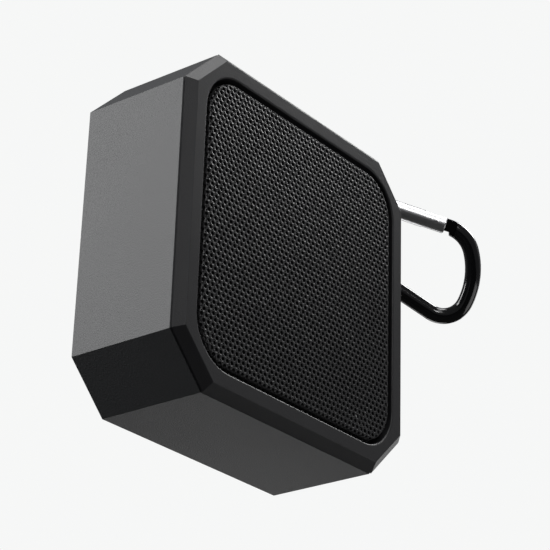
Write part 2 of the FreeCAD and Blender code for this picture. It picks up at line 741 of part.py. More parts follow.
def swivel_eye():
    """Turning eye on the cut corner, and the clip that holds it from inside."""
    place = (FOOT_X, "eye_y", FOOT_Z)
    stem_low = "-wall - 2.2"
    stem_high = "eye_height - eye_ring - 0.2"
    body = new_body("swivel_eye", place, eye_rotation())
    turn(body, [
        ("0", stem_low), ("eye_stem", stem_low), ("eye_stem", "running_gap"),
        ("2*eye_stem", "running_gap"), ("2*eye_stem", "1"), ("eye_stem", "1.6"),
        ("eye_stem", stem_high), ("0", stem_high)])
    ring = new_sketch(body, "YZ")
    add_circle(ring, "eye_wire", "0", "eye_height + eye_ring")
    height = value("eye_height")
    line = Part.LineSegment(FreeCAD.Vector(-1, height, 0), FreeCAD.Vector(1, height, 0))
    axis = ring.addGeometry(line, True)
    fix_point(ring, axis, 1, "-1", "eye_height")
    fix_point(ring, axis, 2, "1", "eye_height")
    hoop = body.newObject("PartDesign::Revolution", "eye_hoop")
    hoop.Profile = ring
    hoop.ReferenceAxis = (ring, ["Axis0"])
    hoop.Angle = 360
    doc.recompute()

    clip_low = "-wall - 1.3"
    clip_high = "-wall - running_gap"
    clip_radius = "2*eye_stem + 0.2"
    clip = new_body("swivel_clip", place, eye_rotation())
    turn(clip, [
        ("eye_stem", clip_low), (clip_radius, clip_low),
        (clip_radius, clip_high), ("eye_stem", clip_high)])


def carabiner_place():
    """Placement of the carabiner's own frame: X along it, Y toward the gate side."""
    foot = FreeCAD.Vector(value(FOOT_X), value("eye_y"), value(FOOT_Z))
    outward = FreeCAD.Vector(1, 0, 1).normalize()
    ring_centre = foot + outward * value("eye_height")
    return FreeCAD.Placement(ring_centre, FreeCAD.Rotation(*CARABINER_TURN))


def gate_local():
    """The gate's own frame inside the carabiner's: X runs along the gate from the small end."""
    slope = math.radians(GATE_SLOPE)
    radius = value("small_end_radius")
    start = FreeCAD.Vector(
        radius * (1 - math.sin(slope)), SMALL_END_Y + radius * math.cos(slope), 0)
    return FreeCAD.Placement(start, FreeCAD.Rotation(FreeCAD.Vector(0, 0, 1), GATE_SLOPE))


def hung_body(label, placement):
    body = new_body(label)
    for axis in "xyz":
        body.setExpression("Placement.Base." + axis, None)
    body.Placement = placement
    return body


def bend(point, heading, radius, new_heading):
    """Right-hand arc from a point and heading in degrees; gives the arc and where it ends."""
    def spot(angle):
        a = math.radians(heading)
        b = math.radians(angle)
        return FreeCAD.Vector(point.x + radius * (math.sin(a) - math.sin(b)),
                              point.y + radius * (math.cos(b) - math.cos(a)), 0)
    end = spot(new_heading)
    return Part.Arc(point, spot((heading + new_heading) / 2), end), end


def wire_path():
    """Centreline of the carabiner body from the hinge round to the nose."""
    slope = math.radians(GATE_SLOPE)
    along = FreeCAD.Vector(math.cos(slope), math.sin(slope), 0)
    radius = value("small_end_radius")
    centre = FreeCAD.Vector(radius, SMALL_END_Y, 0)
    gate_origin = centre + FreeCAD.Vector(-along.y, along.x, 0) * radius
    start = gate_origin + along * value("gate_pin_at")
    point = gate_origin + along * value("gate_end + 1.3")
    pieces = [Part.LineSegment(start, point)]
    heading = GATE_SLOPE
    for size, new_heading in (HINGE_BEND, BIG_BEND, TIGHT_BEND):
        arc, point = bend(point, heading, size, new_heading)
        pieces.append(arc)
        heading = new_heading
    lean = math.radians(180 + heading)
    touch = centre + FreeCAD.Vector(math.sin(lean), -math.cos(lean), 0) * radius
    pieces.append(Part.LineSegment(point, touch))
    tip = centre + FreeCAD.Vector(-radius, 0, 0)
    pieces.append(Part.Arc(touch, tip, gate_origin))
    pieces.append(Part.LineSegment(gate_origin, gate_origin + along * NOSE_STUB))
    return pieces


def gate_sketch(body, lift="0"):
    """Sketch of the carabiner body laid in the gate's frame, lifted off its plane."""
    sketch = new_sketch(body, "XY")
    sketch.setExpression("AttachmentOffset.Base.z", None)
    raised = FreeCAD.Placement(FreeCAD.Vector(0, 0, value(lift)), FreeCAD.Rotation())
    sketch.AttachmentOffset = gate_local().multiply(raised)
    return sketch


def carabiner_wire(body):
    """Round wire swept along the path."""
    path = new_sketch(body, "XY")
    for piece in wire_path():
        path.addGeometry(piece)
    profile = body.newObject("Sketcher::SketchObject", "wire_profile")
    across = FreeCAD.Rotation(FreeCAD.Vector(0, 0, 1), GATE_SLOPE).multiply(
        FreeCAD.Rotation(FreeCAD.Vector(0, 1, 0), 90))
    support = [f for f in body.Origin.OriginFeatures if f.Role == "XY_Plane"][0]
    profile.AttachmentSupport = (support, [""])
    profile.MapMode = "FlatFace"
    profile.AttachmentOffset = FreeCAD.Placement(path.Geometry[0].StartPoint, across)
    add_circle(profile, "wire_radius")
    wire = body.newObject("PartDesign::AdditivePipe", "wire")
    wire.Profile = profile
    wire.Spine = (path, ["Edge%d" % (i + 1) for i in range(len(path.Geometry))])
    doc.recompute()


def carabiner_body():
    body = hung_body("carabiner_body", carabiner_place())
    carabiner_wire(body)
    hinge_start = "gate_pin_at - 3"
    for lift, toward in (("tongue_thickness/2", "+"), ("-tongue_thickness/2", "-")):
        cheek = gate_sketch(body, lift)
        add_polygon(cheek, [
            (hinge_start, "-4"), ("gate_end + 3.2", "-4"),
            ("gate_end + 3.2", "4"), (hinge_start, "4")])
        pocket(body, cheek, "4", toward)
    relief = gate_sketch(body)
    add_polygon(relief, [
        (hinge_start, "-4"), ("gate_end + 2.6", "-4"),
        ("gate_end + 1.6", "-1.3"), (hinge_start, "-1.3")])
    pocket(body, relief, "6", both=True)
    ear = gate_sketch(body)
    add_circle(ear, "2", "gate_pin_at")
    pad(body, ear, "tongue_thickness", both=True)
    carabiner_nose(body)
    hole = gate_sketch(body)
    add_circle(hole, "pin_radius + 0.05", "gate_pin_at")
    pocket(body, hole, "6", both=True)


def carabiner_nose(body):
    """Flat nose with a notch that takes the gate's cross pin."""
    notch = "(pin_radius + 0.15)"
    notch_near = "nose_pin_at - " + notch
    notch_far = "nose_pin_at + " + notch
    nose_end = "nose_pin_at + 1.5"
    nose = gate_sketch(body)
    add_polygon(nose, [
        ("0.6", "-1.5"), (notch_near, "-1.5"), (notch_near, notch), (notch_far, notch),
        (notch_far, "-1.1"), (nose_end, "-1.1"), (nose_end, "1.5"), ("0.6", "1.5")])
    pad(body, nose, "tongue_thickness - 0.3", both=True)


def carabiner_gate():
    body = hung_body("carabiner_gate", GATE_PLACE)
    turn(body, [
        ("gate_start", "0"), ("gate_start", "gate_radius - 0.3"),
        ("gate_start + 0.3", "gate_radius"), ("gate_end - 0.25", "gate_radius"),
        ("gate_end", "gate_radius - 0.25"), ("gate_end", "gate_bore"),
        ("9.5", "gate_bore"), ("9", "0")], "XY", "H_Axis")
    nose_slot = ("gate_start - 1", "nose_pin_at + 2.2", "tongue_thickness - 0.1")
    hinge_slot = ("gate_pin_at - 3.4", "gate_end + 1", "tongue_thickness + 2*tongue_gap")
    for low, high, wide in (nose_slot, hinge_slot):
        slot = new_sketch(body, "XZ")
        half = "(%s)/2" % wide
        add_polygon(slot, [(low, "-" + half), (high, "-" + half), (high, half), (low, half)])
        pocket(body, slot, "8", both=True)
    pin_hole = new_sketch(body, "XY")
    add_circle(pin_hole, "pin_radius", "gate_pin_at")
    pocket(body, pin_hole, "8", both=True)
    nose_pin = new_sketch(body, "XY")
    add_circle(nose_pin, "pin_radius", "nose_pin_at")
    pad(body, nose_pin, "2*gate_radius - 0.3", both=True)


def gate_parts():
    """Hinge pin, plunger and spring carried inside the gate."""
    pin = hung_body("gate_pin", GATE_PLACE)
    circle = new_sketch(pin, "XY")
    add_circle(circle, "pin_radius", "gate_pin_at")
    pad(pin, circle, "2*gate_radius - 0.2", both=True)

    plunger = hung_body("gate_plunger", GATE_PLACE)
    turn(plunger, [
        ("gate_pin_at - 4", "0"), ("gate_pin_at - 4", "gate_bore - 0.1"),
        ("gate_pin_at - 2.4", "gate_bore - 0.1"), ("gate_pin_at - 2.05", "1.1"),
        ("gate_pin_at - 2.05", "0")], "XY", "H_Axis")

    spring = hung_body("gate_spring", GATE_PLACE)
    coil = new_sketch(spring, "XY")
    add_circle(coil, "spring_wire", "10", "gate_bore - 0.35")
    helix = spring.newObject("PartDesign::AdditiveHelix", "spring_coil")
    helix.Profile = coil
    helix.ReferenceAxis = (coil, ["H_Axis"])
    helix.Mode = 0
    helix.Pitch = SPRING_PITCH
    helix.Height = SPRING_LENGTH
    helix.Angle = 0
    helix.Reversed = False
    doc.recompute()


def check_and_export():
    for item in doc.Objects:
        if "Invalid" in item.State or "Error" in item.State:
            raise RuntimeError("failed feature: %s %s" % (item.Label, item.State))
    for body in nodes:
        shape = body.Shape
        if shape.isNull() or not shape.isValid() or len(shape.Solids) != 1:
            raise RuntimeError("bad shape: %s, %d solids" % (body.Label, len(shape.Solids)))
    os.makedirs("parts", exist_ok=True)
    for body in nodes:
        body.Shape.exportStep("parts/%s.step" % body.Label)
    print("pieces:", len(nodes))


GATE_PLACE = carabiner_place().multiply(gate_local())

rear_housing()
front_bezel()
seal_gasket()
grille()
acoustic_mesh()
bezel_screws()
driver()
circuit_board()
charging_port()
battery()
switch_board()
buttons()
port_flap()
swivel_eye()
carabiner_body()
carabiner_gate()
gate_parts()
doc.recompute()
check_and_export()
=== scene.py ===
import json
import math

import bmesh
import bpy
from mathutils import Euler, Matrix, Vector


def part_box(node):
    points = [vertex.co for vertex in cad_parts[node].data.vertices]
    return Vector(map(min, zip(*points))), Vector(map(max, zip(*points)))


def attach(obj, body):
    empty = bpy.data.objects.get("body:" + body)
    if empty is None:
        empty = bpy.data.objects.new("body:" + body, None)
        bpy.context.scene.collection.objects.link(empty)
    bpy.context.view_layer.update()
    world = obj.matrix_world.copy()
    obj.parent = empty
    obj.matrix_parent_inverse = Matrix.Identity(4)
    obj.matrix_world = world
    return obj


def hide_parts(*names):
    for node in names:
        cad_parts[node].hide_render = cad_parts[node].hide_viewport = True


bl_info = {
    "name": "Shower Speaker",
    "version": (1, 0, 0),
    "blender": (4, 5, 0),
    "location": "3D View > Sidebar > Speaker",
    "description": "Grille, finishes and studio for a square shower speaker with a carabiner",
    "category": "Object",
}

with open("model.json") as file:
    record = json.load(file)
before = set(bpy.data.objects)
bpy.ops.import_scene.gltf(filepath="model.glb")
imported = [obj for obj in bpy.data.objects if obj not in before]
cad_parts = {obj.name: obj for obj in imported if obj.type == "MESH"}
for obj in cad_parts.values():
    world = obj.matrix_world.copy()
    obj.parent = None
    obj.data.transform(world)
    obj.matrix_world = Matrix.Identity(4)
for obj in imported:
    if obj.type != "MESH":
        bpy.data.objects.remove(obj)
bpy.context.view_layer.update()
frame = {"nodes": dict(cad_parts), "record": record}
GRILLE_LOW, GRILLE_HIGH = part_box("grille")
BODY_LOW, BODY_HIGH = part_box("rear_housing")
GATE_LOW, GATE_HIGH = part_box("carabiner_gate")

HOLE_SIDES = 12          # sides of the polygon that stands for each round hole
WELD_SHARE = 0.02        # share of the pitch within which the corners of two cells are one point
BACK_MARGIN = 0.6        # share of the pitch that stays free at the tray's open back edge
CORE_SHARE = 0.8         # how far out the points lie from which the tray's faces are judged
SHORTEST_EDGE = 1e-6     # metres, under which an edge of the folded sheet is dropped
BOX_SLACK = 1e-5         # metres that a grille point may lie outside the tray
DISH_DEPTH = 0.00005     # metres that the grille's paint dips at the rim of a hole

COAT_ROUGHNESS = 0.12    # roughness of the clear coat on the hook
SCUFF_ROUGHNESS = 0.03   # what a scuff adds to the roughness
TONE_ENDS = (0.35, 0.75)    # grain values at which a finish is wholly dark or wholly light

SENSOR_WIDTH = 36        # millimetres
NEAR_CLIP = 0.01         # metres
FLOOR_REACH = 1.5        # metres from the middle of the floor to its edge
AMBIENT = 0.22           # strength of the backdrop as a source of light
STRIP_SIZE = (0.8, 0.16)    # metres, length and width of the strip light
STRIP_PLACE = (-0.154, -0.44, 0.594)    # metres

# Each soft light's setting, its place and its size across, in metres.
LIGHTS = (
    ("left_light", (-0.68, 0.5, 0.45), 0.6),
    ("edge_light", (-0.35, -0.75, 0.42), 0.15),
    ("top_light", (0.12, -0.17, 0.85), 0.35),
    ("rim_light", (0.6, -0.08, 0.65), 0.25),
    ("right_light", (0.85, 0.1, 0.2), 0.35),
    ("front_light", (0.8, -0.54, 0.46), 0.4),
    ("low_light", (0.55, 0.5, -0.3), 0.4),
    ("under_light", (0.38, -0.5, -0.37), 0.6),
)


class GrilleSettings(bpy.types.PropertyGroup):
    """Sizes of the perforated front grille."""

    hole_pitch: bpy.props.FloatProperty(
        name="Hole Pitch", description="Distance between neighbouring holes",
        default=0.001655, unit="LENGTH")
    hole_radius: bpy.props.FloatProperty(
        name="Hole Radius", description="Radius of each round hole",
        default=0.00056, unit="LENGTH")
    corner_radius: bpy.props.FloatProperty(
        name="Corner Radius", description="Radius of the tray's corners seen from the front",
        default=0.0108, unit="LENGTH")
    fold_radius: bpy.props.FloatProperty(
        name="Fold Radius", description="Radius of the fold from the face to the side",
        default=0.0008, unit="LENGTH")
    sheet: bpy.props.FloatProperty(
        name="Sheet", description="Thickness of the sheet metal",
        default=0.0005, unit="LENGTH")


class FinishSettings(bpy.types.PropertyGroup):
    """Colours of the main finishes."""

    housing_colour: bpy.props.FloatVectorProperty(
        name="Housing", description="Colour of the moulded housing", subtype="COLOR",
        default=(0.025, 0.026, 0.0275), min=0.0, max=1.0)
    bezel_colour: bpy.props.FloatVectorProperty(
        name="Bezel", description="Colour of the front bezel", subtype="COLOR",
        default=(0.019, 0.019, 0.0205), min=0.0, max=1.0)
    grille_colour: bpy.props.FloatVectorProperty(
        name="Grille", description="Colour of the grille's paint", subtype="COLOR",
        default=(0.024, 0.024, 0.025), min=0.0, max=1.0)
    hook_colour: bpy.props.FloatVectorProperty(
        name="Hook", description="Colour of the carabiner's coating", subtype="COLOR",
        default=(0.004, 0.004, 0.0045), min=0.0, max=1.0)


class StageSettings(bpy.types.PropertyGroup):
    """Camera, floor and lights."""

    lens: bpy.props.FloatProperty(
        name="Lens", description="Focal length of the camera", default=134.24, unit="CAMERA")
    stand: bpy.props.FloatVectorProperty(
        name="Stand", description="Where the camera stands",
        default=(-0.36387, -0.30193, -0.17449), subtype="TRANSLATION", unit="LENGTH")
    azimuth: bpy.props.FloatProperty(
        name="Azimuth", description="How far the camera is turned from straight ahead to its right",
        default=math.radians(51.188), subtype="ANGLE", unit="ROTATION")
    elevation: bpy.props.FloatProperty(
        name="Elevation", description="How far the camera looks up",
        default=math.radians(25.089), subtype="ANGLE", unit="ROTATION")
    roll: bpy.props.FloatProperty(
        name="Roll", description="How far the camera is turned about its own line of sight",
        default=math.radians(1.843), subtype="ANGLE", unit="ROTATION")
    floor_height: bpy.props.FloatProperty(
        name="Floor Height", description="Height of the floor under the speaker",
        default=-0.42, unit="LENGTH")
    backdrop: bpy.props.FloatProperty(
        name="Backdrop", description="Brightness of the backdrop", default=0.93)
    left_light: bpy.props.FloatProperty(
        name="Left Light", description="Power of the soft light on the left",
        default=10.5, unit="POWER")
    edge_light: bpy.props.FloatProperty(
        name="Edge Light", description="Power of the small light on the front left",
        default=0.7, unit="POWER")
    top_light: bpy.props.FloatProperty(
        name="Top Light", description="Power of the overhead light",
        default=1.4, unit="POWER")
    strip_light: bpy.props.FloatProperty(
        name="Strip Light", description="Power of the strip that the hook's gate mirrors",
        default=0.6, unit="POWER")
    rim_light: bpy.props.FloatProperty(
        name="Rim Light", description="Power of the small light on the upper right",
        default=2.2, unit="POWER")
    right_light: bpy.props.FloatProperty(
        name="Right Light", description="Power of the light on the right",
        default=0.42, unit="POWER")
    front_light: bpy.props.FloatProperty(
        name="Front Light", description="Power of the light that the grille mirrors",
        default=0.1, unit="POWER")
    low_light: bpy.props.FloatProperty(
        name="Low Light", description="Power of the light from below and behind",
        default=0.75, unit="POWER")
    under_light: bpy.props.FloatProperty(
        name="Under Light", description="Power of the fill from below and in front",
        default=1.1, unit="POWER")


# ---------------------------------------------------------------- shader node groups

def make_group(name, inputs, outputs):
    """Empty shader node group with named float inputs and outputs."""
    group = bpy.data.node_groups.new(name, "ShaderNodeTree")
    for label, default in inputs:
        socket = group.interface.new_socket(name=label, in_out="INPUT", socket_type="NodeSocketFloat")
        socket.default_value = default
    for label in outputs:
        group.interface.new_socket(name=label, in_out="OUTPUT", socket_type="NodeSocketFloat")
    start = group.nodes.new("NodeGroupInput")
    end = group.nodes.new("NodeGroupOutput")
    return group, start, end


def grain_group():
    """Moulded or cast surface: fine grain for the bump and slow blotches for tone."""
    found = bpy.data.node_groups.get("Surface Grain")
    if found:
        return found
    group, start, end = make_group(
        "Surface Grain",
        [("Grain Scale", 4000.0), ("Blotch Scale", 60.0)],
        ["Grain", "Blotch", "Mixed"])
    place = group.nodes.new("ShaderNodeTexCoord")
    fine = group.nodes.new("ShaderNodeTexNoise")
    fine.inputs["Detail"].default_value = 3.0
    slow = group.nodes.new("ShaderNodeTexNoise")
    slow.inputs["Detail"].default_value = 4.0
    mixed = group.nodes.new("ShaderNodeMath")
    mixed.operation = "MULTIPLY_ADD"
    mixed.inputs[1].default_value = 0.6
    link = group.links.new
    link(place.outputs["Object"], fine.inputs["Vector"])
    link(place.outputs["Object"], slow.inputs["Vector"])
    link(start.outputs["Grain Scale"], fine.inputs["Scale"])
    link(start.outputs["Blotch Scale"], slow.inputs["Scale"])
    link(fine.outputs["Fac"], mixed.inputs[0])
    link(slow.outputs["Fac"], mixed.inputs[2])
    link(fine.outputs["Fac"], end.inputs["Grain"])
    link(slow.outputs["Fac"], end.inputs["Blotch"])
    link(mixed.outputs["Value"], end.inputs["Mixed"])
    return group


def scuff_group():
    """Sparse fine scuffs and dust specks that lift the roughness."""
    found = bpy.data.node_groups.get("Fine Scuffs")
    if found:
        return found
    group, start, end = make_group(
        "Fine Scuffs", [("Scale", 900.0), ("Threshold", 0.68)], ["Scuff"])
    place = group.nodes.new("ShaderNodeTexCoord")
    stretch = group.nodes.new("ShaderNodeMapping")
    stretch.inputs["Rotation"].default_value = (0.3, 0.9, 0.5)
    stretch.inputs["Scale"].default_value = (1.0, 0.12, 1.0)
    noise = group.nodes.new("ShaderNodeTexNoise")
    noise.inputs["Detail"].default_value = 2.0
    above = group.nodes.new("ShaderNodeMath")
    above.operation = "SUBTRACT"
    gain = group.nodes.new("ShaderNodeMath")
    gain.operation = "MULTIPLY"
    gain.inputs[1].default_value = 6.0
    gain.use_clamp = True
    link = group.links.new
    link(place.outputs["Object"], stretch.inputs["Vector"])
    link(stretch.outputs["Vector"], noise.inputs["Vector"])
    link(start.outputs["Scale"], noise.inputs["Scale"])
    link(noise.outputs["Fac"], above.inputs[0])
    link(start.outputs["Threshold"], above.inputs[1])
    link(above.outputs["Value"], gain.inputs[0])
    link(gain.outputs["Value"], end.inputs["Scuff"])
    return group


def weave_group():
    """Plain weave of two crossing sets of threads."""
    found = bpy.data.node_groups.get("Plain Weave")
    if found:
        return found
    group, start, end = make_group("Plain Weave", [("Thread Scale", 1500.0)], ["Height"])
    place = group.nodes.new("ShaderNodeTexCoord")
    heights = []
    for direction in ("X", "Z"):
        wave = group.nodes.new("ShaderNodeTexWave")
        wave.bands_direction = direction
        wave.inputs["Distortion"].default_value = 0.4
        group.links.new(place.outputs["Object"], wave.inputs["Vector"])
        group.links.new(start.outputs["Thread Scale"], wave.inputs["Scale"])
        heights.append(wave)
    top = group.nodes.new("ShaderNodeMath")
    top.operation = "MAXIMUM"
    group.links.new(heights[0].outputs["Fac"], top.inputs[0])
    group.links.new(heights[1].outputs["Fac"], top.inputs[1])
    group.links.new(top.outputs["Value"], end.inputs["Height"])
    return group


# ---------------------------------------------------------------- materials

def add_group(nodes, group, **values):
    """Place a node group; an underscore in a value's name stands for a space in the input's."""
    node = nodes.new("ShaderNodeGroup")
    node.node_tree = group
    for label, number in values.items():
        node.inputs[label.replace("_", " ")].default_value = number
    return node


def two_tones(tree, mixed, dark, light):
    """Colour that runs from a dark to a light tone as the grain and blotches rise."""
    tones = tree.nodes.new("ShaderNodeValToRGB")
    for stop, position, colour in zip(tones.color_ramp.elements, TONE_ENDS, (dark, light)):
        stop.position = position
        stop.color = (*colour, 1)
    tree.links.new(mixed, tones.inputs["Fac"])
    return tones.outputs["Color"]


def uneven_roughness(tree, blotch, rough):
    """Roughness that drifts with the blotches and rises where the surface is scuffed."""
    spread = tree.nodes.new("ShaderNodeMapRange")
    spread.inputs["To Min"].default_value = rough[0]
    spread.inputs["To Max"].default_value = rough[1]
    tree.links.new(blotch, spread.inputs["Value"])
    scuffs = add_group(tree.nodes, scuff_group())
    lifted = tree.nodes.new("ShaderNodeMath")
    lifted.operation = "MULTIPLY_ADD"
    lifted.inputs[1].default_value = SCUFF_ROUGHNESS
    tree.links.new(scuffs.outputs["Scuff"], lifted.inputs[0])
    tree.links.new(spread.outputs["Result"], lifted.inputs[2])
    return lifted.outputs["Value"]


def relief(tree, height, bump, depth):
    """Bumped normal from a height."""
    node = tree.nodes.new("ShaderNodeBump")
    node.inputs["Strength"].default_value = bump
    node.inputs["Distance"].default_value = depth
    tree.links.new(height, node.inputs["Height"])
    return node.outputs["Normal"]


def surface(name, dark, light, rough, grain=4000.0, depth=0.00002, bump=0.3, metallic=0.0,
            weave=0.0, coat=0.0, sheen=0.0, specular=0.5, blotch=60.0):
    """Material with two tones, grain or a weave in the bump, and scuffs in the roughness."""
    material = bpy.data.materials.new(name)
    material.use_nodes = True
    tree = material.node_tree
    shader = tree.nodes["Principled BSDF"]
    shader.inputs["Metallic"].default_value = metallic
    shader.inputs["Coat Weight"].default_value = coat
    shader.inputs["Coat Roughness"].default_value = COAT_ROUGHNESS
    shader.inputs["Sheen Weight"].default_value = sheen
    shader.inputs["Specular IOR Level"].default_value = specular
    texture = add_group(tree.nodes, grain_group(), Grain_Scale=grain, Blotch_Scale=blotch)
    height = texture.outputs["Grain"]
    if weave:
        height = add_group(tree.nodes, weave_group(), Thread_Scale=weave).outputs["Height"]
    link = tree.links.new
    link(two_tones(tree, texture.outputs["Mixed"], dark, light), shader.inputs["Base Color"])
    link(uneven_roughness(tree, texture.outputs["Blotch"], rough), shader.inputs["Roughness"])
    link(relief(tree, height, bump, depth), shader.inputs["Normal"])
    return material


def brighter(colour, factor):
    """A colour with each channel multiplied, up to full."""
    return tuple(min(1.0, channel * factor) for channel in colour)


def finish_nodes(slots):
    """Give every CAD node of the named record slots its finish; slots maps slot to material."""
    for part in frame["record"]["subparts"]:
        material = slots.get(part["material_slot"])
        if material is None:
            continue
        piece = frame["nodes"][part["node"]]
        piece.data.materials.clear()
        piece.data.materials.append(material)


class SPEAKER_OT_body(bpy.types.Operator):
    """Moulded housing, satin bezel, rubber seal and flap, keys and light pipe"""

    bl_idname = "speaker.body"
    bl_label = "Finish the Body"

    def execute(self, context):
        colours = context.scene.speaker_finish
        housing = surface("Moulded housing", tuple(colours.housing_colour),
                          brighter(colours.housing_colour, 1.45), (0.54, 0.58),
                          grain=2400.0, depth=0.0001, bump=0.9, blotch=30.0)
        bezel = surface("Satin bezel", tuple(colours.bezel_colour),
                        brighter(colours.bezel_colour, 1.3), (0.36, 0.46),
                        grain=2800.0, depth=0.00006, bump=0.5)
        rubber = surface("Black rubber", (0.012, 0.012, 0.012), (0.02, 0.02, 0.021), (0.6, 0.75),
                         grain=2500.0, depth=0.00002, bump=0.3, sheen=0.1)
        keys = surface("Key rubber", (0.018, 0.018, 0.019), (0.03, 0.03, 0.032), (0.5, 0.62),
                       grain=3500.0, depth=0.00002, bump=0.25)
        pipe = surface("Frosted light pipe", (0.62, 0.66, 0.7), (0.75, 0.78, 0.8), (0.2, 0.35),
                       grain=2500.0, depth=0.00001, bump=0.15)
        finish_nodes({"housing_plastic": housing, "bezel_plastic": bezel, "black_rubber": rubber,
                      "button_rubber": keys, "clear_plastic": pipe})
        return {"FINISHED"}


# ---------------------------------------------------------------- grille

def punched_cell(pitch, radius):
    """Mesh of one hexagon of sheet with a round hole in it."""
    bm = bmesh.new()
    edge_mask = bm.verts.layers.float.new("hole_edge")
    outer = bmesh.ops.create_circle(bm, cap_ends=False, segments=6, radius=pitch / math.sqrt(3))
    inner = bmesh.ops.create_circle(bm, cap_ends=False, segments=HOLE_SIDES, radius=radius)
    upright = Matrix.Rotation(math.radians(30), 3, "Z")
    for ring in (outer, inner):
        bmesh.ops.rotate(bm, verts=ring["verts"], cent=(0, 0, 0), matrix=upright)
    bmesh.ops.bridge_loops(bm, edges=bm.edges[:])
    for vert in inner["verts"]:
        vert[edge_mask] = 1.0
    cell = bpy.data.meshes.new("punched cell")
    bm.to_mesh(cell)
    bm.free()
    return cell


def repeated(mesh, places):
    """One mesh that holds a copy of a mesh at each place."""
    bm = bmesh.new()
    for place in places:
        old = len(bm.verts)
        bm.from_mesh(mesh)
        bm.verts.ensure_lookup_table()
        bmesh.ops.translate(bm, verts=bm.verts[old:], vec=place)
    made = bpy.data.meshes.new(mesh.name + " repeated")
    bm.to_mesh(made)
    bm.free()
    return made


def trim_cells(bm, size, outside):
    """Delete each run of size vertices whose centre is outside."""
    verts = bm.verts[:]
    gone = []
    for first in range(0, len(verts), size):
        cell = verts[first:first + size]
        centre = sum((vert.co for vert in cell), Vector()) / size
        if outside(centre):
            gone += cell
    bmesh.ops.delete(bm, geom=gone, context="VERTS")


def rim_point(x, z, half, corner):
    """Nearest point on a rounded square's rim, the outward direction, and the distance outside."""
    near = half - corner
    core = Vector((max(-near, min(near, x)), max(-near, min(near, z))))
    away = Vector((x, z)) - core
    if away.length < 1e-9:
        return core, Vector((0, 0)), -corner
    out = away.normalized()
    return core + out * corner, out, away.length - corner


def folded(x, z, settings, half):
    """Where a point of the flat punched sheet lies once its rim is folded back; y runs backwards."""
    fold = settings.fold_radius
    rim, out, beyond = rim_point(x, z, half - fold, settings.corner_radius - fold)
    if beyond <= 0:
        return Vector((x, 0.0, z))
    angle = min(beyond / fold, math.pi / 2)
    back = fold * (1 - math.cos(angle)) + max(0.0, beyond - fold * math.pi / 2)
    side = rim + out * fold * math.sin(angle)
    return Vector((side.x, back, side.y))


def flat_sheet(settings, half, reach):
    """Flat punched sheet, as wide as the tray's face and what folds back at its rim."""
    pitch = settings.hole_pitch
    row = pitch * math.sqrt(3) / 2
    last = int((half + reach) / row) + 1
    count = range(-last, last + 1)
    cell = punched_cell(pitch, settings.hole_radius)
    strip = repeated(cell, [(i * pitch, 0, 0) for i in count])
    flat = repeated(strip, [(0.5 * (j % 2) * pitch, j * row, 0) for j in count])
    fold = settings.fold_radius
    bm = bmesh.new()
    bm.from_mesh(flat)
    trim_cells(bm, len(cell.vertices), lambda centre: rim_point(
        centre.x, centre.y, half - fold, settings.corner_radius - fold)[2] > reach)
    bmesh.ops.remove_doubles(bm, verts=bm.verts[:], dist=pitch * WELD_SHARE)
    for scrap in (cell, strip, flat):
        bpy.data.meshes.remove(scrap)
    return bm


def faces_inward(face, middle):
    """Whether a face of the tray looks into the speaker."""
    centre = face.calc_center_median()
    inside = middle + (centre - middle) * CORE_SHARE
    inside.y = GRILLE_HIGH.y
    return face.normal.dot(centre - inside) < 0


def check_inside_tray(bm):
    """Raise an error if a point of the grille lies outside the tray's own box."""
    low = GRILLE_LOW - Vector((BOX_SLACK, BOX_SLACK, BOX_SLACK))
    high = GRILLE_HIGH + Vector((BOX_SLACK, BOX_SLACK, BOX_SLACK))
    stray = [v for v in bm.verts if any(not low[i] <= v.co[i] <= high[i] for i in range(3))]
    if stray:
        raise RuntimeError("%d grille points lie outside the tray" % len(stray))


def grille_mesh(settings):
    """Punched sheet with its rim folded back, thickened and placed where the tray is."""
    half = (GRILLE_HIGH.x - GRILLE_LOW.x) / 2
    depth = GRILLE_HIGH.y - GRILLE_LOW.y
    middle = (GRILLE_HIGH + GRILLE_LOW) / 2
    front = Vector((middle.x, GRILLE_LOW.y, middle.z))
    fold = settings.fold_radius
    reach = fold * math.pi / 2 + depth - fold - settings.hole_pitch * BACK_MARGIN
    bm = flat_sheet(settings, half, reach)
    for vert in bm.verts:
        vert.co = folded(vert.co.x, vert.co.y, settings, half) + front
    bmesh.ops.dissolve_degenerate(bm, dist=SHORTEST_EDGE, edges=bm.edges[:])
    bmesh.ops.recalc_face_normals(bm, faces=bm.faces[:])
    bmesh.ops.reverse_faces(bm, faces=[face for face in bm.faces if faces_inward(face, middle)])
    bmesh.ops.solidify(bm, geom=bm.faces[:], thickness=settings.sheet)
    check_inside_tray(bm)
    mesh = bpy.data.meshes.new("grille_sheet")
    bm.to_mesh(mesh)
    bm.free()
    return mesh


def dished_holes(material, depth):
    """Let the paint dip toward the rim of every hole, from the mesh's own hole mask."""
    nodes = material.node_tree.nodes
    link = material.node_tree.links.new
    shader = nodes["Principled BSDF"]
    grain = shader.inputs["Normal"].links[0].from_socket
    mask = nodes.new("ShaderNodeAttribute")
    mask.attribute_name = "hole_edge"
    curve = nodes.new("ShaderNodeMath")
    curve.operation = "POWER"
    curve.inputs[1].default_value = 2.0
    dip = nodes.new("ShaderNodeBump")
    dip.invert = True
    dip.inputs["Strength"].default_value = 1.0
    dip.inputs["Distance"].default_value = depth
    link(mask.outputs["Fac"], curve.inputs[0])
    link(curve.outputs["Value"], dip.inputs["Height"])
    link(grain, dip.inputs["Normal"])
    link(dip.outputs["Normal"], shader.inputs["Normal"])


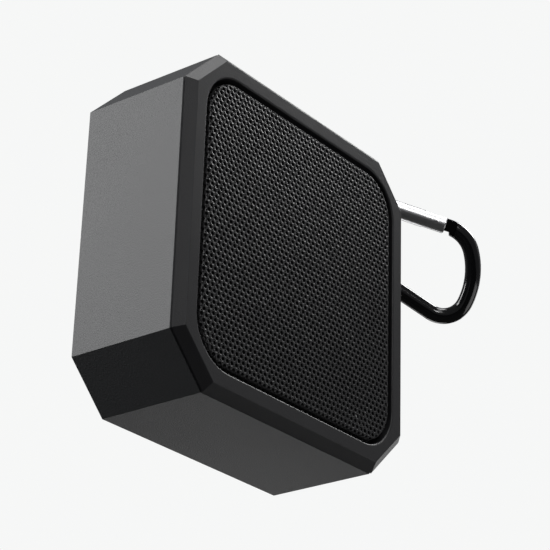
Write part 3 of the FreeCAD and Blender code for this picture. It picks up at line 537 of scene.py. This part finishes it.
class SPEAKER_OT_grille(bpy.types.Operator):
    """Sheet-metal grille, punched all over, its rim folded back round a small radius"""

    bl_idname = "speaker.grille"
    bl_label = "Build the Grille"

    def execute(self, context):
        mesh = grille_mesh(context.scene.speaker_grille)
        piece = bpy.data.objects.new("grille_sheet", mesh)
        context.scene.collection.objects.link(piece)
        colour = tuple(context.scene.speaker_finish.grille_colour)
        paint = surface("Grille paint", colour, brighter(colour, 1.4), (0.3, 0.4),
                        grain=5000.0, depth=0.00001, bump=0.2, specular=0.6)
        dished_holes(paint, DISH_DEPTH)
        mesh.materials.append(paint)
        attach(piece, "speaker")
        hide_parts("grille")
        return {"FINISHED"}


# ---------------------------------------------------------------- hook and inner pieces

class SPEAKER_OT_hook(bpy.types.Operator):
    """Coated carabiner, polished gate, steel swivel eye, spring and screws"""

    bl_idname = "speaker.hook"
    bl_label = "Finish the Hook"

    def execute(self, context):
        colour = tuple(context.scene.speaker_finish.hook_colour)
        coated = surface("Black hook coating", colour, brighter(colour, 1.5), (0.1, 0.16),
                         grain=1500.0, depth=0.00001, bump=0.05, coat=0.6)
        polished = surface("Polished gate", (0.72, 0.72, 0.73), (0.82, 0.82, 0.83), (0.28, 0.34),
                           grain=2500.0, depth=0.000004, bump=0.1, metallic=1.0)
        eye = surface("Eye steel", (0.2, 0.2, 0.21), (0.3, 0.3, 0.31), (0.28, 0.4),
                      grain=3000.0, depth=0.00001, bump=0.15, metallic=1.0)
        spring = surface("Spring steel", (0.5, 0.5, 0.51), (0.62, 0.62, 0.63), (0.22, 0.3),
                         grain=3000.0, depth=0.000005, bump=0.1, metallic=1.0)
        screw = surface("Screw zinc", (0.45, 0.45, 0.46), (0.6, 0.6, 0.6), (0.3, 0.45),
                        grain=2500.0, depth=0.00001, bump=0.15, metallic=1.0)
        finish_nodes({"black_coated_steel": coated, "polished_steel": polished, "eye_steel": eye,
                      "spring_steel": spring, "screw_steel": screw})
        return {"FINISHED"}


class SPEAKER_OT_inside(bpy.types.Operator):
    """Driver, electronics, battery and the black cloth behind the grille"""

    bl_idname = "speaker.inside"
    bl_label = "Finish the Inside"

    def execute(self, context):
        finish_nodes({
            "mesh_cloth": surface("Mesh cloth", (0.004, 0.004, 0.004), (0.008, 0.008, 0.008), (0.8, 0.95),
                                  depth=0.00003, bump=0.5, weave=1500.0),
            "pressed_steel": surface("Pressed basket", (0.03, 0.03, 0.03), (0.05, 0.05, 0.05), (0.35, 0.5),
                                     grain=2500.0, metallic=0.6),
            "cone_paper": surface("Cone paper", (0.03, 0.03, 0.033), (0.055, 0.055, 0.06), (0.8, 0.9),
                                  grain=2200.0, depth=0.00005, bump=0.5),
            "coil_former": surface("Coil winding", (0.45, 0.22, 0.1), (0.7, 0.38, 0.18), (0.3, 0.4),
                                   depth=0.00003, bump=0.5, weave=2500.0, metallic=1.0),
            "spider_cloth": surface("Spider cloth", (0.45, 0.32, 0.14), (0.6, 0.45, 0.22), (0.7, 0.85),
                                    depth=0.00004, bump=0.6, weave=1200.0),
            "zinc_steel": surface("Zinc plate", (0.45, 0.45, 0.46), (0.6, 0.6, 0.6), (0.3, 0.42),
                                  grain=1800.0, metallic=1.0),
            "ferrite": surface("Ferrite", (0.05, 0.05, 0.052), (0.08, 0.08, 0.08), (0.6, 0.75),
                               grain=2600.0, depth=0.00004, bump=0.5),
            "board_green": surface("Solder mask", (0.01, 0.09, 0.035), (0.02, 0.14, 0.06), (0.25, 0.35),
                                   grain=900.0, depth=0.00001),
            "shield_steel": surface("Shield steel", (0.5, 0.5, 0.5), (0.62, 0.62, 0.62), (0.3, 0.42),
                                    grain=2000.0, metallic=1.0),
            "cell_wrap": surface("Cell sleeve", (0.02, 0.1, 0.3), (0.03, 0.14, 0.4), (0.25, 0.35),
                                 grain=500.0, depth=0.00001),
        })
        return {"FINISHED"}


# ---------------------------------------------------------------- stage

def soft_light(name, place, target, size, power, length=0.0, along=(1, 0, 0)):
    """Area light that faces the target; a length makes it a strip that runs along a direction."""
    data = bpy.data.lights.new(name, "AREA")
    data.shape = "RECTANGLE"
    data.size = length or size
    data.size_y = size
    data.energy = power
    facing = (Vector(place) - Vector(target)).normalized()
    side = Vector(along) - facing * facing.dot(Vector(along))
    side.normalize()
    turned = Matrix((side, facing.cross(side), facing)).transposed().to_4x4()
    turned.translation = place
    lamp = bpy.data.objects.new(name, data)
    lamp.matrix_world = turned
    lamp.visible_camera = False
    bpy.context.scene.collection.objects.link(lamp)
    return lamp


def studio_world(brightness):
    """White to the eye, dim as a source of light."""
    world = bpy.data.worlds.new("Studio")
    world.use_nodes = True
    nodes = world.node_tree.nodes
    link = world.node_tree.links.new
    nodes.clear()
    seen = nodes.new("ShaderNodeBackground")
    seen.inputs["Color"].default_value = (brightness * 0.993, brightness, brightness * 0.997, 1)
    dim = nodes.new("ShaderNodeBackground")
    dim.inputs["Color"].default_value = (0.5, 0.5, 0.52, 1)
    dim.inputs["Strength"].default_value = AMBIENT
    rays = nodes.new("ShaderNodeLightPath")
    mix = nodes.new("ShaderNodeMixShader")
    out = nodes.new("ShaderNodeOutputWorld")
    link(rays.outputs["Is Camera Ray"], mix.inputs["Fac"])
    link(dim.outputs["Background"], mix.inputs[1])
    link(seen.outputs["Background"], mix.inputs[2])
    link(mix.outputs["Shader"], out.inputs["Surface"])
    return world


def floor_material():
    """Pale to the eye, but throws little light back up at the speaker."""
    material = bpy.data.materials.new("Pale floor")
    material.use_nodes = True
    nodes = material.node_tree.nodes
    link = material.node_tree.links.new
    nodes.clear()
    glow = nodes.new("ShaderNodeEmission")
    glow.inputs["Color"].default_value = (0.62, 0.62, 0.62, 1)
    paint = nodes.new("ShaderNodeBsdfDiffuse")
    paint.inputs["Color"].default_value = (0.8, 0.8, 0.8, 1)
    seen = nodes.new("ShaderNodeAddShader")
    dark = nodes.new("ShaderNodeBsdfDiffuse")
    dark.inputs["Color"].default_value = (0.04, 0.04, 0.04, 1)
    rays = nodes.new("ShaderNodeLightPath")
    mix = nodes.new("ShaderNodeMixShader")
    out = nodes.new("ShaderNodeOutputMaterial")
    link(glow.outputs["Emission"], seen.inputs[0])
    link(paint.outputs["BSDF"], seen.inputs[1])
    link(rays.outputs["Is Camera Ray"], mix.inputs["Fac"])
    link(dark.outputs["BSDF"], mix.inputs[1])
    link(seen.outputs["Shader"], mix.inputs[2])
    link(mix.outputs["Shader"], out.inputs["Surface"])
    return material


def pale_floor(context, height):
    """Level floor below the speaker."""
    bm = bmesh.new()
    bmesh.ops.create_grid(bm, x_segments=2, y_segments=2, size=FLOOR_REACH)
    bmesh.ops.translate(bm, verts=bm.verts[:], vec=(0, 0, height))
    mesh = bpy.data.meshes.new("floor")
    bm.to_mesh(mesh)
    bm.free()
    floor = bpy.data.objects.new("floor", mesh)
    context.scene.collection.objects.link(floor)
    mesh.materials.append(floor_material())


def aimed_camera(context, settings):
    """The scene's camera at its stand, aimed by its azimuth and elevation and then rolled."""
    data = bpy.data.cameras.new("Camera")
    data.sensor_width = SENSOR_WIDTH
    data.lens = settings.lens
    data.clip_start = NEAR_CLIP
    camera = bpy.data.objects.new("Camera", data)
    aim = Euler((math.pi / 2 + settings.elevation, 0.0, -settings.azimuth)).to_matrix()
    roll = Matrix.Rotation(settings.roll, 3, "Z")
    camera.matrix_world = Matrix.LocRotScale(settings.stand, aim @ roll, None)
    context.scene.collection.objects.link(camera)
    context.scene.camera = camera
    return camera


class SPEAKER_OT_stage(bpy.types.Operator):
    """Camera, pale floor, backdrop and soft lights"""

    bl_idname = "speaker.stage"
    bl_label = "Set the Stage"

    def execute(self, context):
        settings = context.scene.speaker_stage
        camera = aimed_camera(context, settings)
        context.scene.world = studio_world(settings.backdrop)
        context.scene.view_settings.view_transform = "Standard"
        pale_floor(context, settings.floor_height)
        body_middle = (BODY_LOW + BODY_HIGH) / 2
        for setting, place, size in LIGHTS:
            label = setting.replace("_", " ").capitalize()
            soft_light(label, place, body_middle, size, getattr(settings, setting))
        gate_middle = (GATE_LOW + GATE_HIGH) / 2
        length, width = STRIP_SIZE
        toward_camera = camera.matrix_world.col[2].to_3d()
        soft_light("Strip light", STRIP_PLACE, gate_middle, width, settings.strip_light,
                   length=length, along=toward_camera)
        return {"FINISHED"}


class SPEAKER_PT_panel(bpy.types.Panel):
    """Buttons for each group of pieces, with their sizes and colours"""

    bl_idname = "SPEAKER_PT_panel"
    bl_label = "Shower Speaker"
    bl_space_type = "VIEW_3D"
    bl_region_type = "UI"
    bl_category = "Speaker"

    def draw(self, context):
        layout = self.layout
        finishes = ("speaker.body", "speaker.hook", "speaker.inside")
        for settings, group, operators in (
                (context.scene.speaker_grille, GrilleSettings, ("speaker.grille",)),
                (context.scene.speaker_finish, FinishSettings, finishes),
                (context.scene.speaker_stage, StageSettings, ("speaker.stage",))):
            box = layout.box()
            for name in group.__annotations__:
                box.prop(settings, name)
            for operator in operators:
                box.operator(operator)


CLASSES = (GrilleSettings, FinishSettings, StageSettings, SPEAKER_OT_body, SPEAKER_OT_grille,
           SPEAKER_OT_hook, SPEAKER_OT_inside, SPEAKER_OT_stage, SPEAKER_PT_panel)


def register():
    for item in CLASSES:
        bpy.utils.register_class(item)
    bpy.types.Scene.speaker_grille = bpy.props.PointerProperty(type=GrilleSettings)
    bpy.types.Scene.speaker_finish = bpy.props.PointerProperty(type=FinishSettings)
    bpy.types.Scene.speaker_stage = bpy.props.PointerProperty(type=StageSettings)


def unregister():
    del bpy.types.Scene.speaker_stage
    del bpy.types.Scene.speaker_finish
    del bpy.types.Scene.speaker_grille
    for item in reversed(CLASSES):
        bpy.utils.unregister_class(item)


def main():
    register()
    bpy.ops.speaker.stage()
    bpy.ops.speaker.body()
    bpy.ops.speaker.grille()
    bpy.ops.speaker.hook()
    bpy.ops.speaker.inside()


if __name__ == "__main__":
    main()
